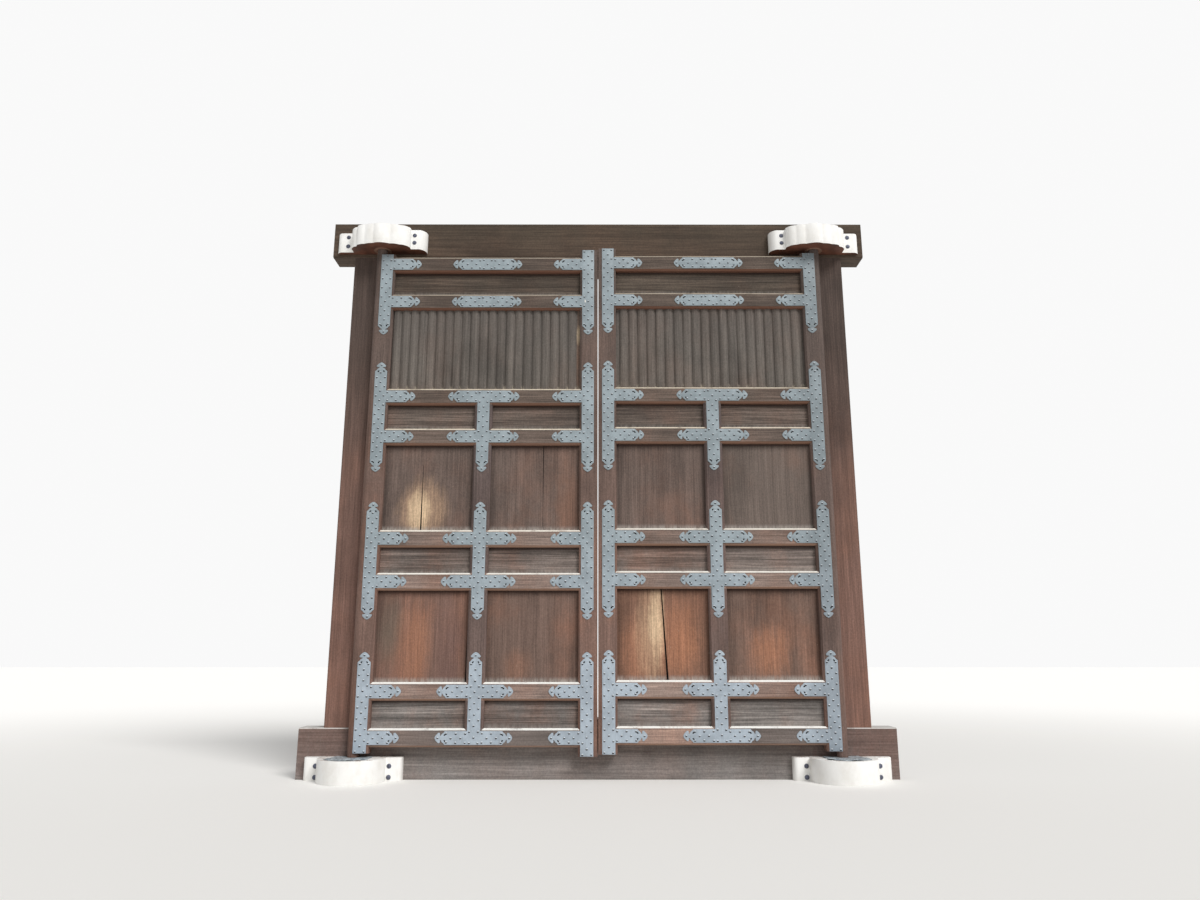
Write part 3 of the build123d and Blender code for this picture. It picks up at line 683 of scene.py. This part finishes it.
def dress_straps(paint, nail_finish, shadow):
    """Pierced strap plates with their small nails, on both leaves."""
    rng = random.Random(83)
    facing = Matrix.Rotation(math.pi / 2, 4, "X")
    for side_name in sides:
        body = f"{side_name}_leaf"
        vertices = []
        faces = []
        shadows = []
        for node, plates in leaf_plates(side_name).items():
            outlines = []
            for shapes, nails in plates:
                outlines.extend(shapes)
                shadows.extend(shapes[1:])
                for across, level in nails:
                    drift = (rng.uniform(-1.0, 1.0), rng.uniform(-1.0, 1.0))
                    size = nail_radius * rng.uniform(0.9, 1.06)
                    depth = leaf_front - strap_thickness + nail_sunk
                    centre = (across + drift[0], depth, level + drift[1])
                    dome(vertices, faces, centre, size, nail_height)
            mesh = plate_mesh(outlines, strap_thickness, strap_edge_bevel)
            mesh.transform(facing)
            mesh.transform(Matrix.Translation((0, (leaf_front - strap_thickness / 2) * MM, 0)))
            place_mesh(f"{node}_plate", mesh, body, paint, [node])
        outlines = [grown(eye, eye_shadow_spread) for eye in shadows]
        mesh = plate_mesh(outlines, eye_shadow_thickness, eye_shadow_bevel)
        mesh.transform(facing)
        mesh.transform(Matrix.Translation((0, (leaf_front - eye_shadow_thickness / 2) * MM, 0)))
        place_mesh(f"{side_name}_eye_shadows", mesh, body, shadow)
        make_object(f"{side_name}_strap_nails", vertices, faces, body, nail_finish)


# Ribbed panels
def ribbed_board(vertices, faces, side, start, end, count, levels):
    """One board with round upright ribs, closed behind."""
    pitch = (end - start) / count
    valley = panel_front - rib_root
    radius = ((pitch / 2) ** 2 + rib_height ** 2) / (2 * rib_height)
    profile = []
    for rib in range(count):
        for step in range(rib_steps):
            across = -pitch / 2 + pitch * step / rib_steps
            rise = math.sqrt(radius ** 2 - across ** 2) - (radius - rib_height)
            profile.append((start + (rib + 0.5) * pitch + across, valley - rise))
    profile.append((end, valley))
    profile.append((end, panel_back))
    profile.append((start, panel_back))
    first = len(vertices)
    size = len(profile)
    for level in levels:
        for across, depth in profile:
            vertices.append((side * across, depth, level))
    for index in range(size):
        after = (index + 1) % size
        faces.append((first + index, first + after, first + size + after, first + size + index))
    faces.append(tuple(first + index for index in range(size)))
    faces.append(tuple(first + size + index for index in range(size)))


def flat_box(vertices, faces, x_span, y_span, z_span):
    """Adds a plain block."""
    first = len(vertices)
    for z in z_span:
        for x, y in ((0, 0), (1, 0), (1, 1), (0, 1)):
            vertices.append((x_span[x], y_span[y], z))
    for quad in ((0, 1, 2, 3), (4, 5, 6, 7), (0, 1, 5, 4), (1, 2, 6, 5), (2, 3, 7, 6), (3, 0, 4, 7)):
        faces.append(tuple(first + index for index in quad))


def dress_ribbed_panels(materials):
    """Rounder ribs than the solids have."""
    for side_name, side in sides.items():
        bottom = leaf_bottoms[side_name]
        low = bottom + rail_levels[5] + rail_width + panel_play
        high = bottom + rail_levels[6] - panel_play
        vertices = []
        faces = []
        if side_name == "left":
            joint = (left_joint - left_joint_half, left_joint + left_joint_half)
            boards = [
                (field_start, joint[0], field_start + flat_margin, joint[0]),
                (joint[1], field_end, joint[1], field_end - panel_play),
            ]
        else:
            boards = [(field_start, field_end, field_start + flat_margin, field_end - flat_margin)]
        for (board_start, board_end, start, end), count in zip(boards, rib_counts[side_name]):
            ribbed_board(vertices, faces, side, start, end, count, (low, high))
            edges = sorted((side * board_start, side * board_end))
            depths = (panel_front, panel_back + panel_back_inset)
            flat_box(vertices, faces, edges, depths, (low - panel_tongue, high + panel_tongue))
        make_object(
            f"{side_name}_ribbed_boards", vertices, faces, f"{side_name}_leaf",
            materials[side_name], [f"{side_name}_ribbed_panel"],
        )


# Sockets
def bulge_arc(start, end, rise, steps=9):
    """Points after start up to end on an arc that stands out from the line between them."""
    length = math.hypot(end[0] - start[0], end[1] - start[1])
    if not rise:
        return [end]
    radius = (length ** 2 / 4 + rise ** 2) / (2 * rise)
    along = ((end[0] - start[0]) / length, (end[1] - start[1]) / length)
    out = (-along[1], along[0])
    points = []
    for step in range(1, steps + 1):
        across = length * (step / steps - 0.5)
        lift = math.sqrt(max(radius ** 2 - across ** 2, 0.0)) - (radius - rise)
        points.append((
            start[0] + along[0] * (across + length / 2) + out[0] * lift,
            start[1] + along[1] * (across + length / 2) + out[1] * lift,
        ))
    return points


def upper_outline(side):
    """Plan of an upper socket, as X and distance in front of the rail."""
    start = (upper_inner_end, 0.0)
    points = [start]
    for reach, out, rise in upper_socket_plan:
        points.extend(bulge_arc(points[-1], (reach, out), rise))
    return [(side * (pivot_x + reach), rail_face - out) for reach, out in points]


def lower_outline(side):
    """Plan of a lower socket: a round bulge between two ears."""
    depth = lower_socket_projection - lower_ear_thickness
    half = lower_bulge_half_width
    radius = (half ** 2 + depth ** 2) / (2 * depth)
    centre = lower_socket_projection - radius
    start_angle = math.asin((lower_ear_thickness - centre) / radius)
    ear = [(-lower_half_length, 0.0)]
    for step in range(lower_corner_steps + 1):
        turn = math.pi / 2 * step / lower_corner_steps
        ear.append((
            -lower_half_length + lower_ear_corner * (1 - math.cos(turn)),
            lower_ear_thickness - lower_ear_corner * (1 - math.sin(turn)),
        ))
    bulge = []
    for step in range(lower_bulge_steps + 1):
        turn = math.pi - start_angle - (math.pi - 2 * start_angle) * step / lower_bulge_steps
        bulge.append((radius * math.cos(turn), centre + radius * math.sin(turn)))
    other_ear = [(-reach, out) for reach, out in reversed(ear)]
    points = ear + bulge + other_ear
    return [(side * (pivot_x + reach), rail_face - out) for reach, out in points]


def socket_mesh(outline, bottom, height, bore_span, side):
    """A socket block with soft edges and the pivot's bore cut into it."""
    mesh = plate_mesh([outline], height, socket_edge_bevel)
    mesh.transform(Matrix.Translation((0, 0, (bottom + height / 2) * MM)))
    block = bpy.data.objects.new("socket_block", mesh)
    bpy.context.scene.collection.objects.link(block)
    cutter_mesh = bpy.data.meshes.new("bore")
    work = bmesh.new()
    bmesh.ops.create_cone(
        work, cap_ends=True, segments=bore_segments, radius1=bore_radius * MM, radius2=bore_radius * MM,
        depth=(bore_span[1] - bore_span[0]) * MM,
        matrix=Matrix.Translation((side * pivot_x * MM, pivot_depth * MM, sum(bore_span) / 2 * MM)),
    )
    work.to_mesh(cutter_mesh)
    work.free()
    cutter = bpy.data.objects.new("bore", cutter_mesh)
    bpy.context.scene.collection.objects.link(cutter)
    cut = block.modifiers.new("bore", "BOOLEAN")
    cut.operation = "DIFFERENCE"
    cut.solver = "EXACT"
    cut.object = cutter
    graph = bpy.context.evaluated_depsgraph_get()
    result = bpy.data.meshes.new_from_object(block.evaluated_get(graph))
    bpy.data.objects.remove(block)
    bpy.data.objects.remove(cutter)
    return result


def sheet_mesh(side, seed):
    """The worn sheet on a lower socket, crinkled more towards its ragged edge."""
    pivot_out = rail_face - pivot_depth
    ragged = []
    for index, (reach, out) in enumerate(sheet_plan):
        after = sheet_plan[(index + 1) % len(sheet_plan)]
        for part in range(sheet_side_parts):
            share = part / sheet_side_parts
            across = reach + (after[0] - reach) * share
            depth = out + (after[1] - out) * share
            nudge = noise.noise(Vector((across * 0.05, depth * 0.05, seed))) * sheet_raggedness
            away = math.hypot(across, depth - pivot_out)
            trim = 1 - (abs(nudge) + 1.0) / away
            ragged.append((across * trim, pivot_out + (depth - pivot_out) * trim))
    outline = [(side * (pivot_x + reach), rail_face - out) for reach, out in ragged]
    hole = []
    for index in range(sheet_hole_points):
        turn = 2 * math.pi * index / sheet_hole_points
        hole.append((
            side * pivot_x + sheet_hole_radius * math.cos(turn),
            pivot_depth + sheet_hole_radius * math.sin(turn),
        ))
    mesh = plate_mesh([outline, hole], sheet_thickness, sheet_bevel)
    work = bmesh.new()
    work.from_mesh(mesh)
    for _ in range(sheet_divisions):
        long_edges = [edge for edge in work.edges if edge.calc_length() > sheet_longest_edge * MM]
        bmesh.ops.subdivide_edges(work, edges=long_edges, cuts=1)
        bmesh.ops.triangulate(work, faces=[face for face in work.faces if len(face.verts) > 3])
    for vertex in work.verts:
        away = math.hypot(vertex.co.x / MM - side * pivot_x, vertex.co.y / MM - pivot_depth)
        share = min(max((away - sheet_flat_reach) / sheet_crinkle_reach, 0.0), 1.0)
        spot = Vector((vertex.co.x * crease_rate, vertex.co.y * crease_rate, seed))
        crease = abs(noise.noise(spot)) * crease_height
        crease += abs(noise.noise(spot * fine_crease_rate)) * fine_crease_height
        vertex.co.z += (lower_socket_height + sheet_thickness / 2 + crease * share) * MM
    work.to_mesh(mesh)
    work.free()
    return mesh


def dress_sockets(upper_paint, lower_paint, sheet_metal, iron):
    """Sockets with soft edges, crinkled sheets and hammered nail heads."""
    rng = random.Random(29)
    vertices = []
    faces = []
    for side_name, side in sides.items():
        bore = (upper_socket_bottom - bore_overshoot, upper_socket_bottom + upper_bore_depth)
        mesh = socket_mesh(upper_outline(side), upper_socket_bottom, upper_socket_height, bore, side)
        name = f"{side_name}_upper_socket"
        place_mesh(f"{name}_block", mesh, "frame", upper_paint, [name])
        sunk = leaf_bottoms["right"] - leaf_bottoms[side_name]
        bore = (lower_socket_height - lower_bore_depth - sunk, lower_socket_height + bore_overshoot)
        mesh = socket_mesh(lower_outline(side), 0.0, lower_socket_height, bore, side)
        name = f"{side_name}_lower_socket"
        place_mesh(f"{name}_block", mesh, "frame", lower_paint, [name])
        mesh = sheet_mesh(side, 3.0 + side)
        place_mesh(
            f"{side_name}_crinkled_sheet", mesh, "frame", sheet_metal,
            [f"{side_name}_socket_plate"], sharp=60.0,
        )
        for base, nails in ((upper_socket_bottom, upper_nails), (0.0, lower_nails)):
            for reach, ear, level in nails:
                centre = (side * (pivot_x + reach), rail_face - ear + socket_nail_sunk, base + level)
                size = socket_nail_radius * rng.uniform(0.94, 1.0)
                height = socket_nail_height + socket_nail_sunk
                dome(vertices, faces, centre, size, height, sides_count=20, rings=5)
    make_object("socket_nail_heads", vertices, faces, "frame", iron, ["socket_nails"])


# Wood of the frame and the leaves
def frame_and_lattice_woods():
    """The finish of each solid of the frame and of the leaves' stiles, muntins and rails."""
    span = (0.2, 2.5)
    russet = tone(120, 94, 86)
    rose = tone(186, 152, 136)
    grey = tone(122, 112, 107)
    head = wood("head_rail_wood", "x", tone(78, 67, 56), tone(84, 70, 59), (2.6, 2.8), 1.0, contrast=1.2)
    sill = wood(
        "sill_wood", "x", tone(114, 106, 101), tone(135, 130, 127), (0.02, 0.2), 2.0, dust=0.6,
        patches=[((-1.3, 0.16), (0.36, 0.24), russet, 0.7), ((1.3, 0.14), (0.36, 0.26), russet, 0.8)],
        warmth=0.15, front=rail_face,
    )
    jamb = wood("jamb_wood", "z", tone(82, 69, 63), tone(132, 101, 90), (0.5, 2.3), 3.0, warmth=0.35)
    stile = wood("stile_wood", "z", tone(98, 85, 79), tone(126, 100, 90), span, 4.0, 1.0, 0.7)
    cooler = wood(
        "cooler_stile_wood", "z", tone(92, 81, 76), tone(114, 95, 88), span, 4.0, 1.0, 0.7, warmth=0.3,
    )
    rail = wood(
        "rail_wood", "x", tone(95, 83, 75), tone(150, 131, 122), (0.5, 2.1), 5.0, 1.0, 0.7, contrast=1.6,
    )
    muntin = wood(
        "muntin_wood", "z", tone(86, 77, 76), tone(112, 94, 88), span, 4.5, 1.0, 0.7, warmth=0.2,
    )
    bottom_rail = wood(
        "bottom_rail_wood", "x", grey, grey, span, 6.0, 1.0, 0.6,
        patches=[((0.36, 0.19), (0.34, 0.12), rose, 0.85)], contrast=1.3, warmth=0.15,
    )
    chosen = {"head_rail": head, "sill_rail": sill, "inner_lintel": head, "threshold": sill}
    for side_name in sides:
        chosen[f"{side_name}_jamb"] = jamb
        chosen[f"{side_name}_hinge_stile"] = stile if side_name == "left" else cooler
        chosen[f"{side_name}_meeting_stile"] = stile
        chosen[f"{side_name}_muntin"] = muntin
        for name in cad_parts:
            if name.startswith(side_name) and "rail" in name:
                chosen[name] = bottom_rail if "bottom" in name else rail
    return chosen


def panel_woods():
    """The finish of each flat panel: upright boards with their patches, then the narrow ones."""
    golden = tone(186, 154, 126)
    bleached = tone(232, 204, 168)
    orange = tone(170, 118, 90)
    cracks = {
        "left_upper_outer_panel": [(-0.864, (1.475, 0.0004), (1.15, 0.003))],
        "left_upper_inner_panel": [(-0.27, (1.17, 0.0001), (1.58, 0.0016))],
    }
    upright = {
        "left_upper_outer_panel": (tone(106, 91, 84), [
            ((-0.858, 1.25), (0.13, 0.17), golden, 0.85), ((-0.874, 1.24), (0.062, 0.13), bleached, 0.85),
        ]),
        "left_upper_inner_panel": (tone(110, 95, 88), [((-0.15, 1.3), (0.07, 0.26), orange, 0.22)]),
        "right_upper_inner_panel": (tone(106, 91, 84), []),
        "right_upper_outer_panel": (tone(108, 96, 89), []),
        "left_lower_outer_panel": (tone(122, 96, 86), [
            ((-0.99, 0.68), (0.07, 0.2), tone(108, 98, 86), 0.6),
            ((-0.865, 0.61), (0.095, 0.27), orange, 0.6),
            ((-0.71, 0.6), (0.08, 0.24), tone(112, 86, 80), 0.6),
        ]),
        "left_lower_inner_panel": (tone(112, 92, 83), [((-0.38, 0.5), (0.08, 0.1), orange, 0.3)]),
        "right_lower_inner_panel": (tone(126, 94, 78), [
            ((0.38, 0.62), (0.13, 0.2), orange, 0.9), ((0.19, 0.58), (0.11, 0.18), orange, 0.55),
            ((0.25, 0.66), (0.08, 0.27), golden, 0.8), ((0.28, 0.72), (0.045, 0.22), bleached, 0.7),
        ]),
        "right_lower_outer_panel": (tone(115, 94, 84), [((0.815, 0.57), (0.11, 0.16), orange, 0.75)]),
    }
    chosen = {}
    for index, (name, (colour, patches)) in enumerate(upright.items()):
        chosen[name] = wood(
            f"{name}_wood", "z", colour, colour, (0, 1), 7.0 + index, patches=patches, panel=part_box(name),
            contrast=0.95, cracks=cracks.get(name, ()),
        )
    lying = {
        "top_panel": tone(84, 74, 65), "narrow_panels_1": tone(100, 89, 82),
        "narrow_panels_2": tone(123, 112, 106), "narrow_panels_3": tone(131, 125, 121),
    }
    for index, (part, colour) in enumerate(lying.items()):
        for side_name in sides:
            name = f"{side_name}_{part}"
            seed = 17.0 + index + 0.5 * sides[side_name]
            chosen[name] = wood(
                f"{name}_wood", "x", colour, colour, (0, 1), seed, panel=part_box(name), contrast=2.1,
            )
    return chosen


def ribbed_wood(side_name, seed, patches=()):
    """The greyer wood of a ribbed panel."""
    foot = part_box(f"{side_name}_ribbed_panel")[0][2]
    return wood(
        f"{side_name}_ribbed_wood", "z", tone(98, 92, 87), tone(104, 98, 92), (1.9, 2.3), seed,
        patches=patches, rib_dust=(foot + 0.014, foot + 0.04),
    )


pale_strip = [
    ((-0.1, 2.16), (0.011, 0.06), tone(230, 214, 180), 0.8),
    ((-0.1, 2.0), (0.011, 0.4), tone(160, 120, 96), 0.5),
]
ribbed = {"left": ribbed_wood("left", 15.0, pale_strip), "right": ribbed_wood("right", 16.0)}
for name, material in {**frame_and_lattice_woods(), **panel_woods()}.items():
    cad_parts[name].material_slots[0].material = material
dress_ribbed_panels(ribbed)
dress_straps(
    painted_metal(),
    nail_paint(),
    plain_metal("eye_shadow", tone(22, 18, 17), tone(16, 13, 13), 0.9),
)
dress_sockets(
    white_paint("upper_socket_paint", bare_below=True),
    white_paint("lower_socket_paint", worn_on_top=True),
    plain_metal("sheet_finish", tone(208, 217, 222), tone(98, 112, 124), 0.4, 0.2),
    plain_metal("nail_finish", tone(100, 104, 120), tone(66, 68, 80), 0.45, 0.3),
)

# Floor, light and camera
near_floor_glow = 0.1
far_floor_glow = 0.3
sun_strength = 2.2
sun_from = (0.42, -0.62, 0.68)
sun_angle = math.radians(24)
world_light = 0.34
world_seen = 0.95
floor_size = 30.0
camera_lens = 26.4
camera_place = (0.005, -4.368, 0.577)
camera_turn = (math.radians(102.91), 0.0, math.radians(-0.07))

floor_mesh = bpy.data.meshes.new("floor")
corners = [(x * floor_size, y * floor_size, 0) for x, y in ((-1, -1), (1, -1), (1, 1), (-1, 1))]
floor_mesh.from_pydata(corners, [], [(0, 1, 2, 3)])
floor = bpy.data.objects.new("floor", floor_mesh)
bpy.context.scene.collection.objects.link(floor)
floor_paint = Shader("floor_paint")
reach = floor_paint.add("ShaderNodeVectorMath", operation="LENGTH")
floor_paint.join(floor_paint.place, reach.inputs[0])
glow = floor_paint.step(reach.outputs["Value"], 2.2, 8.0, near_floor_glow, far_floor_glow)
floor_paint.surface.inputs["Emission Color"].default_value = (1.0, 1.0, 1.0, 1.0)
floor_paint.join(glow, floor_paint.surface.inputs["Emission Strength"])
floor_mesh.materials.append(floor_paint.finish(tone(238, 237, 234), 0.9))

sun_data = bpy.data.lights.new("sky_light", "SUN")
sun_data.energy = sun_strength
sun_data.angle = sun_angle
sun_data.color = (1.0, 0.985, 0.97)
sun = bpy.data.objects.new("sky_light", sun_data)
sun.rotation_euler = Vector(sun_from).to_track_quat("Z", "Y").to_euler()
bpy.context.scene.collection.objects.link(sun)

world = bpy.data.worlds.new("world")
bpy.context.scene.world = world
world.use_nodes = True
world_nodes = world.node_tree.nodes
world_links = world.node_tree.links
background = world_nodes["Background"]
rays = world_nodes.new("ShaderNodeLightPath")
seen = rays.outputs["Is Camera Ray"]
for ray in ("Is Glossy Ray", "Is Transmission Ray"):
    either = world_nodes.new("ShaderNodeMath")
    either.operation = "MAXIMUM"
    world_links.new(seen, either.inputs[0])
    world_links.new(rays.outputs[ray], either.inputs[1])
    seen = either.outputs[0]
level = world_nodes.new("ShaderNodeMapRange")
level.inputs["To Min"].default_value = world_light
level.inputs["To Max"].default_value = world_seen
world_links.new(seen, level.inputs["Value"])
world_links.new(level.outputs[0], background.inputs["Strength"])
background.inputs["Color"].default_value = (1.0, 1.0, 1.0, 1.0)

camera_data = bpy.data.cameras.new("camera")
camera_data.sensor_width = 36.0
camera_data.lens = camera_lens
camera = bpy.data.objects.new("camera", camera_data)
camera.location = camera_place
camera.rotation_euler = camera_turn
bpy.context.scene.collection.objects.link(camera)
bpy.context.scene.camera = camera
bpy.context.scene.view_settings.view_transform = "Standard"
